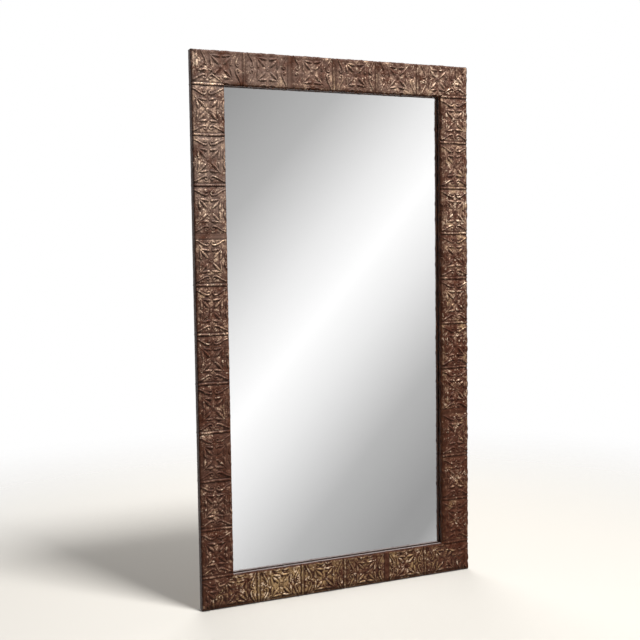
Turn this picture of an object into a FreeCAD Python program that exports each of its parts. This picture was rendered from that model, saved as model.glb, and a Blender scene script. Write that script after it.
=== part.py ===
"""Floor mirror: a mitred timber frame clad in pressed tin, with a plain mirror plate set deep in it.

Millimetres. +Z is up, the mirror faces -Y, and the origin is at floor level in the middle of the frame's
width, half way through the timber's depth. Every frame member is drawn lying down in a frame of its own:
x along its length from its middle, y from the front of the tin to the back, z from its outer edge inwards.
"""
import FreeCAD, Part
import math
import os
import re
import Sketcher

Vector = FreeCAD.Vector
Rotation = FreeCAD.Rotation
doc = FreeCAD.newDocument("floor_mirror")

# Driving dimensions
sizes = doc.addObject("Spreadsheet::Sheet", "sizes")
dimensions = {
    # Clear opening that shows the glass, and the timber round it
    "sight_width": 762.0,
    "sight_height": 1524.0,
    "member_width": 103.0,
    "member_depth": 26.0,
    "edge_round": 4.5,
    # Pressed tin: sheet, how far it turns down the outer side, and its slack over the rounded timber
    "tin_thickness": 0.5,
    "outer_return": 26.0,
    "return_gap": 0.5,
    "fold_slack": 0.3,
    # Rabbets behind the lip: glass and its cushion in the first, the back panel in the second
    "lip_depth": 17.5,
    "glass_rabbet": 11.0,
    "panel_rabbet": 15.0,
    "glass_thickness": 4.0,
    "glass_arris": 0.8,
    "cushion_thickness": 1.0,
    "panel_thickness": 3.0,
    "edge_clearance": 2.0,
    "block_length": 60.0,
    "block_thickness": 3.0,
    "block_spread": 400.0,
    # Repeat of the pressed pattern, where it starts on the rails and how far it sits towards the outer edge
    "tile_pitch": 152.4,
    "top_tile_shift": 10.0,
    "bottom_tile_shift": 8.0,
    "tile_offset": 3.0,
    "bead_width": 6.4,
    "bead_height": 1.8,
    "scroll_width": 4.8,
    "scroll_height": 1.8,
    "eye_radius": 3.4,
    "leaf_height": 2.4,
    "boss_radius": 5.5,
    "relief_root": 0.25,
    # Biscuits in the mitres
    "biscuit_length": 56.0,
    "biscuit_width": 23.0,
    "biscuit_thickness": 4.0,
    "biscuit_depth": 9.0,
    "biscuit_clearance": 0.2,
    # Tacks through the tin's outer return
    "tack_depth": 15.0,
    "tack_length": 14.0,
    "tack_radius": 0.8,
    "tack_head_radius": 2.6,
    "tack_head_height": 1.0,
    # Countersunk screws that hold the back panel
    "panel_screw_length": 16.0,
    "panel_screw_radius": 1.75,
    "panel_screw_head_radius": 3.6,
    "panel_screw_edge": 7.0,
    "panel_screw_end": 60.0,
    # Ring hangers on the backs of the stiles
    "hanger_height": 1300.0,
    "hanger_inset": 39.0,
    "strap_width": 16.0,
    "strap_length": 47.0,
    "strap_thickness": 1.2,
    "strap_end_round": 6.0,
    "ring_wire_radius": 1.5,
    "ring_clearance": 0.3,
    "ring_half_width": 12.5,
    "ring_corner_radius": 4.0,
    "ring_drop": 28.0,
    "strap_screw_first": 8.5,
    "strap_screw_second": 38.0,
    "strap_screw_length": 18.0,
    "strap_screw_radius": 2.0,
    "strap_screw_slack": 0.2,
    "strap_screw_head_radius": 3.5,
    "strap_screw_head_height": 2.2,
}
stile_tack_count = 10
top_tack_count = 5
stile_screw_count = 6
rail_screw_count = 3
for row, (alias, number) in enumerate(dimensions.items(), start=1):
    sizes.set(f"A{row}", alias)
    sizes.set(f"B{row}", str(number))
    sizes.setAlias(f"B{row}", alias)
doc.recompute()

# Formulas that several pieces share, in the words of the sheet
clad_width = "(member_width + 2*tin_thickness)"
overall_width = f"(sight_width + 2*{clad_width})"
overall_height = f"(sight_height + 2*{clad_width})"
mid_depth = "(tin_thickness + member_depth/2)"
timber_inner = "(tin_thickness + member_width)"
timber_back = "(tin_thickness + member_depth)"
glass_face = "(tin_thickness + lip_depth)"
cushion_face = f"({glass_face} + glass_thickness)"
panel_face = f"({cushion_face} + cushion_thickness)"
glass_ledge = f"({timber_inner} - glass_rabbet)"
panel_ledge = f"({glass_ledge} - panel_rabbet)"
panel_edge = f"({panel_ledge} + edge_clearance)"
panel_screw_line = f"({panel_edge} + panel_screw_edge)"
fold_radius = "(edge_round + tin_thickness)"
biscuit_arc = "((biscuit_length^2 + biscuit_width^2)/(4*biscuit_width))"
eye_bore = "(ring_wire_radius + ring_clearance)"
eye_outer = f"({eye_bore} + strap_thickness)"
strap_drops = ("strap_screw_first", "strap_screw_second")
alias_words = re.compile(r"\b(" + "|".join(dimensions) + r")\b")


def named(formula):
    return alias_words.sub(r"sizes.\1", formula)


def value(formula):
    return float(sizes.evalExpression(named(formula)))


def bind(item, **formulas):
    for prop, formula in formulas.items():
        item.setExpression(prop.replace("__", "."), named(formula))


# Drawing helpers: every corner and centre of a sketch is held by formulas from the sheet
def add_body(label):
    body = doc.addObject("PartDesign::Body", label)
    body.Label = label
    return body


def add_sketch(body, name, role, level="0"):
    sketch = body.newObject("Sketcher::SketchObject", name)
    plane = next(item for item in body.Origin.OriginFeatures if item.Role == role)
    sketch.AttachmentSupport = (plane, [""])
    sketch.MapMode = "FlatFace"
    bind(sketch, AttachmentOffset__Base__z=level)
    return sketch


def hold(sketch, index, position, point):
    for axis, formula in zip(("DistanceX", "DistanceY"), point):
        if formula is None:
            continue
        number = value(formula)
        key = sketch.addConstraint(Sketcher.Constraint(axis, -1, 1, index, position, number))
        bind(sketch, **{f"Constraints[{key}]": formula})


def draw_outline(sketch, points):
    first = sketch.GeometryCount
    corners = [Vector(value(x), value(y), 0) for x, y in points]
    count = len(points)
    for step in range(count):
        sketch.addGeometry(Part.LineSegment(corners[step], corners[(step + 1) % count]), False)
    for step in range(count):
        following = first + (step + 1) % count
        sketch.addConstraint(Sketcher.Constraint("Coincident", first + step, 2, following, 1))
        hold(sketch, first + step, 1, points[step])


def draw_circles(sketch, centres, radius):
    for centre in centres:
        middle = Vector(value(centre[0]), value(centre[1]), 0)
        index = sketch.addGeometry(Part.Circle(middle, Vector(0, 0, 1), value(radius)), False)
        hold(sketch, index, 3, centre)
        key = sketch.addConstraint(Sketcher.Constraint("Radius", index, value(radius)))
        bind(sketch, **{f"Constraints[{key}]": radius})


def add_pad(body, sketch, name, length, side="Symmetric", backwards=False):
    pad = body.newObject("PartDesign::Pad", name)
    pad.Profile = sketch
    pad.SideType = side
    pad.Reversed = backwards
    bind(pad, Length=length)
    doc.recompute()
    return pad


def add_pocket(body, sketch, name, length=None, side="One side", backwards=False):
    before = body.Shape.Volume
    pocket = body.newObject("PartDesign::Pocket", name)
    pocket.Profile = sketch
    pocket.SideType = side
    pocket.Reversed = backwards
    pocket.Type = "Length" if length else "ThroughAll"
    if length:
        bind(pocket, Length=length)
    doc.recompute()
    if body.Shape.Volume >= before:
        raise RuntimeError(f"{body.Label}: {name} cuts nothing")
    return pocket


def add_fillet(body, base, name, radius, chosen):
    edges = [f"Edge{number}" for number, edge in enumerate(base.Shape.Edges, start=1) if chosen(edge)]
    fillet = body.newObject("PartDesign::Fillet", name)
    fillet.Base = (base, edges)
    bind(fillet, Radius=radius)
    doc.recompute()
    return fillet


def along_x(depth, across):
    spot = (value(depth), value(across))

    def chosen(edge):
        ends = [vertex.Point for vertex in edge.Vertexes]
        return all(math.dist((end.y, end.z), spot) < 1e-6 for end in ends)
    return chosen


def spread(count, pitch):
    return [f"({step} - {(count - 1)/2})*{pitch}" for step in range(count)]


# The four members: which way each lies, and where the pressed pattern and the sheet joint fall on it
class Member:
    def __init__(self, name, length, turn, place, ends, tile_shift, joint_tile, tacks, screws):
        self.name = name
        self.length = length
        self.turn = turn
        self.place = place
        self.ends = ends
        self.tile_shift = tile_shift
        self.joint = f"({joint_tile}*tile_pitch + {tile_shift} + bead_width/2)"
        self.tacks = [(x, "tack_depth") for x in spread(tacks, "tile_pitch")]
        span = f"({length} - 2*{clad_width} - 2*panel_screw_end)"
        pitch = f"{span}/{screws - 1}"
        self.screws = [(x, panel_screw_line) for x in spread(screws, pitch)]

    def lay(self, item):
        item.Placement = FreeCAD.Placement(Vector(), Rotation(Vector(0, 1, 0), self.turn))
        across, up = self.place
        bind(item, Placement__Base__x=across, Placement__Base__y=f"-{mid_depth}", Placement__Base__z=up)

    def spot(self, x, y, z):
        local = Vector(x, y, z)
        turned = Rotation(Vector(0, 1, 0), self.turn).multVec(local)
        across, up = self.place
        return turned + Vector(value(across), -value(mid_depth), value(up))


members = [
    Member("left_stile", overall_height, 90, (f"-{overall_width}/2", f"{overall_height}/2"),
           ("left_tin_upper", "left_tin_lower"), "0", -2, stile_tack_count, stile_screw_count),
    Member("right_stile", overall_height, -90, (f"{overall_width}/2", f"{overall_height}/2"),
           ("right_tin_lower", "right_tin_upper"), "0", -2, stile_tack_count, stile_screw_count),
    Member("top_rail", overall_width, 180, ("0", overall_height),
           ("top_tin_right", "top_tin_left"), "top_tile_shift", 1, top_tack_count, rail_screw_count),
    Member("bottom_rail", overall_width, 0, ("0", "0"),
           ("bottom_tin_left", "bottom_tin_right"), "bottom_tile_shift", 1, 0, rail_screw_count),
]
pieces = []


# Timber: rabbeted section, front edges rounded, ends mitred, then the slots and pilot holes
def mitre_triangles(length):
    for side in ("", "-"):
        outer = f"{side}{length}/2"
        inner = f"{side}({length}/2 - {clad_width})"
        yield [(outer, "0"), (outer, clad_width), (inner, clad_width)]


def add_timber(member):
    body = add_body(member.name)
    section = add_sketch(body, "section", "YZ_Plane")
    draw_outline(section, [
        ("tin_thickness", "tin_thickness"), ("tin_thickness", timber_inner),
        (glass_face, timber_inner), (glass_face, glass_ledge),
        (panel_face, glass_ledge), (panel_face, panel_ledge),
        (timber_back, panel_ledge), (timber_back, "tin_thickness")])
    blank = add_pad(body, section, "plank", f"{member.length} - 2*tin_thickness")
    outer_edge = along_x("tin_thickness", "tin_thickness")
    inner_edge = along_x("tin_thickness", timber_inner)
    add_fillet(body, blank, "rounded_front", "edge_round + fold_slack",
               lambda edge: outer_edge(edge) or inner_edge(edge))
    mitres = add_sketch(body, "mitres", "XZ_Plane")
    for triangle in mitre_triangles(member.length):
        draw_outline(mitres, triangle)
    add_pocket(body, mitres, "mitre_cuts", side="Symmetric")
    slots = add_sketch(body, "biscuit_saw", "XZ_Plane", "-biscuit_depth")
    reach = f"(({biscuit_arc} - biscuit_width/2)/sqrt(2))"
    centres = [(f"{side}({member.length}/2 - {clad_width}/2 + {reach})", f"{clad_width}/2 + {reach}")
               for side in ("", "-")]
    draw_circles(slots, centres, f"{biscuit_arc} + biscuit_clearance")
    add_pocket(body, slots, "biscuit_slots", "biscuit_thickness + 2*biscuit_clearance", "Symmetric")
    pilots = add_sketch(body, "screw_places", "XZ_Plane", f"-{panel_face}")
    draw_circles(pilots, member.screws, "panel_screw_radius")
    add_pocket(body, pilots, "screw_pilots", "panel_screw_length - panel_thickness", backwards=True)
    if member.tacks:
        tack_places = add_sketch(body, "tack_places", "XY_Plane", "tin_thickness")
        draw_circles(tack_places, member.tacks, "tack_radius")
        add_pocket(body, tack_places, "tack_holes", "tack_length - tin_thickness", backwards=True)
    if member.turn in (90, -90):
        add_strap_pilots(body, member)
    member.lay(body)
    pieces.append(body)


def add_strap_pilots(body, member):
    side = "" if member.turn < 0 else "-"
    places = [(f"{side}(hanger_height - {drop} - {overall_height}/2)", "hanger_inset") for drop in strap_drops]
    sketch = add_sketch(body, "hanger_places", "XZ_Plane", f"-{timber_back}")
    draw_circles(sketch, places, "strap_screw_radius")
    add_pocket(body, sketch, "hanger_pilots", "strap_screw_length - strap_thickness", backwards=True)


for member in members:
    add_timber(member)


# Pressed relief of one tile, in shares of half its pitch: across from its middle line, then towards a seam
scroll_line = [(0.62, 0.84), (0.47, 0.77), (0.33, 0.69), (0.2, 0.63), (0.08, 0.645), (0.016, 0.695)]
scroll_eye = (0.155, 0.735)
leaves = [((0.4, 0.4), (0.115, 0.115), 0.06), ((0.415, 0.43), (0.075, 0.41), 0.05),
          ((0.43, 0.415), (0.41, 0.075), 0.05)]
boss_sides = 8


def facet_solid(faces):
    shell = Part.makeShell([Part.Face(Part.makePolygon(list(face) + [face[0]])) for face in faces])
    shell.sewShape()
    solid = Part.makeSolid(shell)
    if solid.Volume < 0:
        solid.reverse()
    return solid


def cone_on(outline, top):
    count = len(outline)
    sides = [(outline[step], outline[(step + 1) % count], top) for step in range(count)]
    return facet_solid(sides + [outline])


def ridge_along(points, half_width, height, sink):
    crest = [Vector(point.x, point.y, height) for point in points[1:-1]]
    wide = half_width*(height + sink)/height
    left = []
    right = []
    for before, point, after in zip(points, points[1:], points[2:]):
        incoming = (point - before).normalize()
        outgoing = (after - point).normalize()
        normal = Vector(-incoming.y - outgoing.y, incoming.x + outgoing.x, 0).normalize()
        reach = wide/Vector(-incoming.y, incoming.x, 0).dot(normal)
        low = Vector(point.x, point.y, -sink)
        left.append(low + normal*reach)
        right.append(low - normal*reach)
    start = Vector(points[0].x, points[0].y, -sink)
    finish = Vector(points[-1].x, points[-1].y, -sink)
    faces = [(start, left[0], crest[0]), (start, crest[0], right[0])]
    for step in range(len(crest) - 1):
        faces.append((left[step], left[step + 1], crest[step + 1], crest[step]))
        faces.append((right[step], crest[step], crest[step + 1], right[step + 1]))
    faces += [(finish, crest[-1], left[-1]), (finish, right[-1], crest[-1])]
    faces.append([start] + left + [finish] + right[::-1])
    return facet_solid(faces)


def tile_relief():
    half = value("tile_pitch/2")
    sink = value("relief_root")
    ridge = value("scroll_height")
    crown = value("leaf_height")
    eye = value("eye_radius")
    forms = []
    for end in (1, -1):
        for side in (1, -1):
            def at(across, towards, level=0.0):
                return Vector(end*towards*half, side*across*half, level)
            line = [at(*point) for point in scroll_line]
            forms.append(ridge_along(line, value("scroll_width")/2, ridge, sink))
            middle = at(*scroll_eye, -sink)
            ring = [middle + Vector(eye*x, eye*y, 0) for x, y in ((1, 0), (0, 1), (-1, 0), (0, -1))]
            forms.append(cone_on(ring, at(*scroll_eye, ridge)))
            for root, tip, width in leaves:
                forms.append(leaf(at(*root), at(*tip), width*half, crown, sink))
    ring = [Vector(math.cos(turn), math.sin(turn), 0)*value("boss_radius") - Vector(0, 0, sink)
            for turn in (2*math.pi*step/boss_sides for step in range(boss_sides))]
    forms.append(cone_on(ring, Vector(0, 0, ridge)))
    return forms


def leaf(root, tip, half_width, height, sink):
    belly = root + (tip - root)*0.5
    aside = Vector(root.y - tip.y, tip.x - root.x, 0).normalize()*half_width
    low = Vector(0, 0, -sink)
    outline = [root + low, belly + aside + low, tip + low, belly - aside + low]
    return cone_on(outline, belly + Vector(0, 0, height))


def bead(seam):
    fold = value(fold_radius)
    across = value(clad_width)
    deep = value(f"{glass_face} - return_gap")
    half = value("bead_width/2")
    sink = value("relief_root")
    slant = math.sqrt(0.5)
    start = Vector(seam, fold - fold*slant, fold - fold*slant)
    bend = math.sin(math.pi/8)
    halfway = Vector(seam, fold - fold*math.cos(math.pi/8), fold - fold*bend)
    face_start = Vector(seam, 0, fold)
    face_end = Vector(seam, 0, across - fold)
    turn_middle = Vector(seam, fold - fold*slant, across - fold + fold*slant)
    turn_end = Vector(seam, fold, across)
    spine = Part.Wire([
        Part.Arc(start, halfway, face_start).toShape(),
        Part.LineSegment(face_start, face_end).toShape(),
        Part.Arc(face_end, turn_middle, turn_end).toShape(),
        Part.LineSegment(turn_end, Vector(seam, deep, across)).toShape()])
    outward = Vector(0, -slant, -slant)
    along = Vector(half, 0, 0)
    low = start - outward*sink
    top = start + outward*value("bead_height")
    section = Part.Wire([
        Part.Arc(low - along, top, low + along).toShape(),
        Part.LineSegment(low + along, low - along).toShape()])
    return spine.makePipeShell([section], True, False)


def member_relief(member):
    length = value(member.length)
    pitch = value("tile_pitch")
    shift = value(member.tile_shift)
    fold = value(fold_radius)
    middle = value(f"{clad_width}/2 - tile_offset")
    flat = Part.makeBox(length, 2*value("leaf_height") + 1, value(clad_width) - 2*fold,
                        Vector(-length/2, -value("leaf_height") - 1, fold))
    motif = tile_relief()
    facing = Rotation(Vector(1, 0, 0), 90)
    reach = math.ceil(length/pitch/2) + 1
    forms = []
    for count in range(-reach, reach + 1):
        seam = count*pitch + shift
        if abs(seam) < length/2 - fold:
            forms.append(bead(seam))
        if abs(seam + pitch/2) > length/2 + pitch/2:
            continue
        for form in motif:
            moved = form.copy()
            moved.Placement = FreeCAD.Placement(Vector(seam + pitch/2, 0, middle), facing)
            box = moved.BoundBox
            if box.XMin > length/2 or box.XMax < -length/2:
                continue
            if box.ZMin < fold or box.ZMax > value(clad_width) - fold:
                moved = moved.common(flat)
            forms += moved.Solids
    return forms


# Cladding: a folded strip along each member with its relief, mitred and cut at the joint into two sheets
def add_trim(name, corners):
    sketch = doc.addObject("Sketcher::SketchObject", f"{name}_outline")
    sketch.Placement = FreeCAD.Placement(Vector(), Rotation(Vector(1, 0, 0), 90))
    draw_outline(sketch, corners)
    trim = doc.addObject("Part::Extrusion", f"{name}_trim")
    trim.Base = sketch
    trim.DirMode = "Normal"
    trim.Solid = True
    bind(trim, LengthFwd="2*leaf_height", LengthRev="outer_return + leaf_height")
    return trim


def add_cladding(member):
    strip = add_body(f"{member.name}_strip")
    section = add_sketch(strip, "folds", "YZ_Plane")
    inner_return = f"({glass_face} - return_gap)"
    draw_outline(section, [
        ("outer_return", "0"), ("0", "0"), ("0", clad_width), (inner_return, clad_width),
        (inner_return, timber_inner), ("tin_thickness", timber_inner),
        ("tin_thickness", "tin_thickness"), ("outer_return", "tin_thickness")])
    folded = add_pad(strip, section, "folded_sheet", member.length)
    outer_corners = [along_x("0", "0"), along_x("0", clad_width)]
    inner_corners = [along_x("tin_thickness", "tin_thickness"), along_x("tin_thickness", timber_inner)]
    folded = add_fillet(strip, folded, "outside_of_folds", fold_radius,
                        lambda edge: any(corner(edge) for corner in outer_corners))
    add_fillet(strip, folded, "inside_of_folds", "edge_round",
               lambda edge: any(corner(edge) for corner in inner_corners))
    if member.tacks:
        places = add_sketch(strip, "tack_places", "XY_Plane")
        draw_circles(places, member.tacks, "tack_radius")
        add_pocket(strip, places, "tack_holes", "tin_thickness", backwards=True)
    pressed = doc.addObject("Part::Feature", f"{member.name}_pressed")
    pressed.Shape = strip.Shape.multiFuse(member_relief(member))
    low = "-2*leaf_height"
    high = f"({clad_width} + 2*leaf_height)"
    for label, side in zip(member.ends, ("-", "")):
        outer = f"{side}({member.length}/2 + 2*leaf_height)"
        inner = f"{side}({member.length}/2 - {high})"
        trim = add_trim(label, [(member.joint, low), (member.joint, high), (inner, high), (outer, low)])
        sheet = doc.addObject("Part::Common", label)
        sheet.Label = label
        sheet.Base = pressed
        sheet.Tool = trim
        member.lay(sheet)
        pieces.append(sheet)
    doc.recompute()


for member in members:
    add_cladding(member)


# Repeated fasteners: one turned solid, copied to every place that a member or hanger gives
def add_turned(name, outline):
    body = add_body(name)
    sketch = add_sketch(body, "half_section", "XZ_Plane")
    draw_outline(sketch, outline)
    turned = body.newObject("PartDesign::Revolution", "turned")
    turned.Profile = sketch
    turned.ReferenceAxis = (sketch, ["V_Axis"])
    doc.recompute()
    return body


def add_group(label, master, placements):
    group = doc.addObject("Part::Feature", label)
    group.Label = label
    copies = []
    for placement in placements:
        copy = master.Shape.copy()
        copy.Placement = placement
        copies.append(copy)
    group.Shape = Part.makeCompound(copies)
    pieces.append(group)
    return group


tack = add_turned("tack", [
    ("0", "tack_head_height"), ("tack_head_radius", "0"), ("tack_radius", "0"),
    ("tack_radius", "-(tack_length - 2*tack_radius)"), ("0", "-tack_length")])
tack_places = []
for member in members:
    inwards = Rotation(Vector(0, 1, 0), member.turn)*Rotation(Vector(1, 0, 0), 180)
    for x, depth in member.tacks:
        tack_places.append(FreeCAD.Placement(member.spot(value(x), value(depth), 0), inwards))
add_group("tin_tacks", tack, tack_places)

panel_screw = add_turned("panel_screw", [
    ("0", "0"), ("panel_screw_head_radius", "0"),
    ("panel_screw_radius", "-(panel_screw_head_radius - panel_screw_radius)"),
    ("panel_screw_radius", "-(panel_screw_length - 2*panel_screw_radius)"), ("0", "-panel_screw_length")])
forwards = Rotation(Vector(1, 0, 0), -90)
panel_back = value(f"{panel_face} + panel_thickness")
panel_screw_places = [
    FreeCAD.Placement(member.spot(value(x), panel_back, value(line)), forwards)
    for member in members for x, line in member.screws]
panel_screws = add_group("back_panel_screws", panel_screw, panel_screw_places)


# Biscuits: the lens between two saw arcs, one across each mitre
def add_saw_disc(name, side):
    disc = doc.addObject("Part::Cylinder", name)
    disc.Placement = FreeCAD.Placement(Vector(), Rotation(Vector(1, 0, 0), 90))
    bind(disc, Radius=biscuit_arc, Height="biscuit_thickness", Placement__Base__y="biscuit_thickness/2",
         Placement__Base__z=f"{side}({biscuit_arc} - biscuit_width/2)")
    return disc


biscuit = doc.addObject("Part::Common", "biscuit")
biscuit.Base = add_saw_disc("upper_arc", "")
biscuit.Tool = add_saw_disc("lower_arc", "-")
doc.recompute()
biscuit_places = []
for member in members[2:]:
    for end in (1, -1):
        middle = value(f"{clad_width}/2")
        spot = member.spot(end*(value(member.length)/2 - middle), value("biscuit_depth"), middle)
        slope = Rotation(Vector(0, 1, 0), member.turn + 45*end)
        biscuit_places.append(FreeCAD.Placement(spot, slope))
add_group("mitre_biscuits", biscuit, biscuit_places)


# Glazing: plate on two setting blocks, cushion behind it, panel screwed over both
glass_half = "(sight_width/2 + tin_thickness + glass_rabbet - edge_clearance)"
glass_bottom = f"({glass_ledge} + block_thickness)"
glass_top = f"({overall_height} - {glass_ledge} - edge_clearance)"


def add_plate(label, half_width, bottom, top, face, thickness):
    body = add_body(label)
    outline = add_sketch(body, "outline", "XZ_Plane")
    draw_outline(outline, [(f"-{half_width}", bottom), (half_width, bottom),
                           (half_width, top), (f"-{half_width}", top)])
    add_pad(body, outline, "plate", thickness, "One side", backwards=True)
    bind(body, Placement__Base__y=f"{face} - {mid_depth}")
    return body


glass = add_plate("mirror_glass", glass_half, glass_bottom, glass_top, glass_face, "glass_thickness")
glass_plate = glass.Tip
arris = glass.newObject("PartDesign::Chamfer", "ground_arris")
arris.Base = (glass_plate, ["Face5", "Face6"])
bind(arris, Size="glass_arris")
pieces.append(glass)

cushion = add_plate("cushion_sheet", glass_half, glass_bottom, glass_top, cushion_face, "cushion_thickness")
pieces.append(cushion)

panel_blank = add_plate("panel_blank", f"({overall_width}/2 - {panel_edge})", panel_edge,
                        f"({overall_height} - {panel_edge})", panel_face, "panel_thickness")
panel = doc.addObject("Part::Cut", "back_panel")
panel.Label = "back_panel"
panel.Base = panel_blank
panel.Tool = panel_screws
pieces.append(panel)

blocks = []
for name, side in (("left_block", "-"), ("right_block", "")):
    block = doc.addObject("Part::Box", name)
    bind(block, Length="block_length", Width="glass_thickness", Height="block_thickness",
         Placement__Base__x=f"{side}block_spread/2 - block_length/2",
         Placement__Base__y=f"{glass_face} - {mid_depth}", Placement__Base__z=glass_ledge)
    blocks.append(block)
setting_blocks = doc.addObject("Part::Compound", "setting_blocks")
setting_blocks.Label = "setting_blocks"
setting_blocks.Links = blocks
pieces.append(setting_blocks)


# Hangers: a strap rolled into an eye, with a wire ring that swings in it
def add_strap(label, across):
    body = add_body(label)
    side_view = add_sketch(body, "strip", "YZ_Plane")
    draw_outline(side_view, [("0", "-strap_length"), ("strap_thickness", "-strap_length"),
                             ("strap_thickness", "-strap_thickness"), ("0", "-strap_thickness")])
    plate = add_pad(body, side_view, "plate", "strap_width")
    end = value("strap_length")
    add_fillet(body, plate, "rounded_end", "strap_end_round",
               lambda edge: all(abs(vertex.Z + end) < 1e-6 for vertex in edge.Vertexes)
               and edge.BoundBox.XLength < 1e-6)
    eye = add_sketch(body, "eye_section", "YZ_Plane")
    for radius in (eye_outer, eye_bore):
        draw_circles(eye, [(eye_outer, "0")], radius)
    add_pad(body, eye, "eye", "strap_width")
    holes = add_sketch(body, "screw_places", "XZ_Plane")
    draw_circles(holes, [("0", f"-{drop}") for drop in strap_drops], "strap_screw_radius + strap_screw_slack")
    add_pocket(body, holes, "screw_holes", side="Symmetric")
    bind(body, Placement__Base__x=across, Placement__Base__y="member_depth/2", Placement__Base__z="hanger_height")
    pieces.append(body)


def add_ring(label, across):
    body = add_body(label)
    bar_end = "(ring_half_width - ring_corner_radius)"
    leg_end = "(ring_drop - ring_half_width)"
    wide = value("ring_half_width")
    corner = value("ring_corner_radius")
    bar = value(bar_end)
    leg = value(leg_end)
    path = add_sketch(body, "centre_line", "XZ_Plane")
    up = Vector(0, 0, 1)
    right_corner = Part.Circle(Vector(bar, -corner, 0), up, corner)
    left_corner = Part.Circle(Vector(-bar, -corner, 0), up, corner)
    bow = Part.Circle(Vector(0, -leg, 0), up, wide)
    quarter = math.pi/2
    path.addGeometry([
        Part.LineSegment(Vector(0, 0, 0), Vector(bar, 0, 0)),
        Part.ArcOfCircle(right_corner, 0, quarter),
        Part.LineSegment(Vector(wide, -corner, 0), Vector(wide, -leg, 0)),
        Part.ArcOfCircle(bow, 2*quarter, 4*quarter),
        Part.LineSegment(Vector(-wide, -leg, 0), Vector(-wide, -corner, 0)),
        Part.ArcOfCircle(left_corner, quarter, 2*quarter),
        Part.LineSegment(Vector(-bar, 0, 0), Vector(0, 0, 0))], False)
    meetings = [(0, 2, 1, 2), (1, 1, 2, 1), (2, 2, 3, 2), (3, 1, 4, 1), (4, 2, 5, 2), (5, 1, 6, 1), (6, 2, 0, 1)]
    for meeting in meetings:
        path.addConstraint(Sketcher.Constraint("Coincident", *meeting))
    hold(path, 0, 1, ("0", "0"))
    hold(path, 0, 2, (bar_end, "0"))
    hold(path, 6, 1, (f"-{bar_end}", "0"))
    hold(path, 1, 3, (bar_end, "-ring_corner_radius"))
    hold(path, 5, 3, (f"-{bar_end}", "-ring_corner_radius"))
    hold(path, 2, 1, (None, "-ring_corner_radius"))
    hold(path, 4, 2, (None, "-ring_corner_radius"))
    hold(path, 3, 3, ("0", f"-{leg_end}"))
    hold(path, 2, 2, ("ring_half_width", f"-{leg_end}"))
    hold(path, 4, 1, (None, f"-{leg_end}"))
    wire = add_sketch(body, "wire_section", "YZ_Plane")
    draw_circles(wire, [("0", "0")], "ring_wire_radius")
    pipe = body.newObject("PartDesign::AdditivePipe", "wire")
    pipe.Profile = wire
    pipe.Spine = (path, [f"Edge{number + 1}" for number in range(path.GeometryCount)])
    bind(body, Placement__Base__x=across, Placement__Base__y=f"member_depth/2 + {eye_outer}",
         Placement__Base__z="hanger_height")
    pieces.append(body)


strap_screw = add_turned("strap_screw", [
    ("0", "strap_screw_head_height"), ("strap_screw_radius", "strap_screw_head_height"),
    ("strap_screw_head_radius", "strap_screw_head_height/2"), ("strap_screw_head_radius", "0"),
    ("strap_screw_radius", "0"), ("strap_screw_radius", "-(strap_screw_length - 2*strap_screw_radius)"),
    ("0", "-strap_screw_length")])
strap_screw_places = []
for side_name, side in (("left", "-"), ("right", "")):
    across = f"{side}({overall_width}/2 - hanger_inset)"
    add_strap(f"{side_name}_hanger_strap", across)
    add_ring(f"{side_name}_hanger_ring", across)
    for drop in strap_drops:
        spot = Vector(value(across), value("member_depth/2 + strap_thickness"), value(f"hanger_height - {drop}"))
        strap_screw_places.append(FreeCAD.Placement(spot, forwards))
add_group("hanger_screws", strap_screw, strap_screw_places)

# Nothing is written unless every object came out whole
doc.recompute()
for item in doc.Objects:
    if {"Invalid", "Error"} & set(item.State):
        raise RuntimeError(f"{item.Label} failed: {item.State}")
for piece in pieces:
    if piece.Shape.isNull() or not piece.Shape.isValid():
        raise RuntimeError(f"{piece.Label} has no sound shape")
os.makedirs("parts", exist_ok=True)
for piece in pieces:
    piece.Shape.exportStep(f"parts/{piece.Label}.step")
    print(piece.Label, len(piece.Shape.Solids), "solids", round(piece.Shape.Volume/1000, 2), "cm3")
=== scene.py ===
import math

import bpy
import numpy as np
from mathutils import Matrix, Vector


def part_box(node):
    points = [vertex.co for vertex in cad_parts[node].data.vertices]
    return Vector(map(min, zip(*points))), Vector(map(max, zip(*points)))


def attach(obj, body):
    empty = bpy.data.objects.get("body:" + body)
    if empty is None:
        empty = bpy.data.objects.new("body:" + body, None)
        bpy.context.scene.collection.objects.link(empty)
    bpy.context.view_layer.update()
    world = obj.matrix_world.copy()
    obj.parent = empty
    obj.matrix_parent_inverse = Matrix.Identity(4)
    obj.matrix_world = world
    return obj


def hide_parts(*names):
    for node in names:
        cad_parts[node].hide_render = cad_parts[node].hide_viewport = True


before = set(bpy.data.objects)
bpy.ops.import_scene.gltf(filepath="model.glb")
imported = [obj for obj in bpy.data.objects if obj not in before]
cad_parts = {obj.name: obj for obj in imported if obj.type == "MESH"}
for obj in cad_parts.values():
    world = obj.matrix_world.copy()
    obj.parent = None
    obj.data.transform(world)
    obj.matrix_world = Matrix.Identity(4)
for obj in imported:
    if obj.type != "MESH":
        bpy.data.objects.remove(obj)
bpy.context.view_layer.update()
scene = bpy.context.scene
scene.view_settings.view_transform = "Standard"
mm = 0.001
print("frame loaded:", len(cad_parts), "nodes")


# small tools for materials and meshes

def linear(hexColour):  # sRGB hex to the linear colour that shaders take
    parts = [int(hexColour[i:i + 2], 16) / 255 for i in (1, 3, 5)]
    return [p / 12.92 if p <= 0.04045 else ((p + 0.055) / 1.055) ** 2.4 for p in parts] + [1.0]


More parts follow.
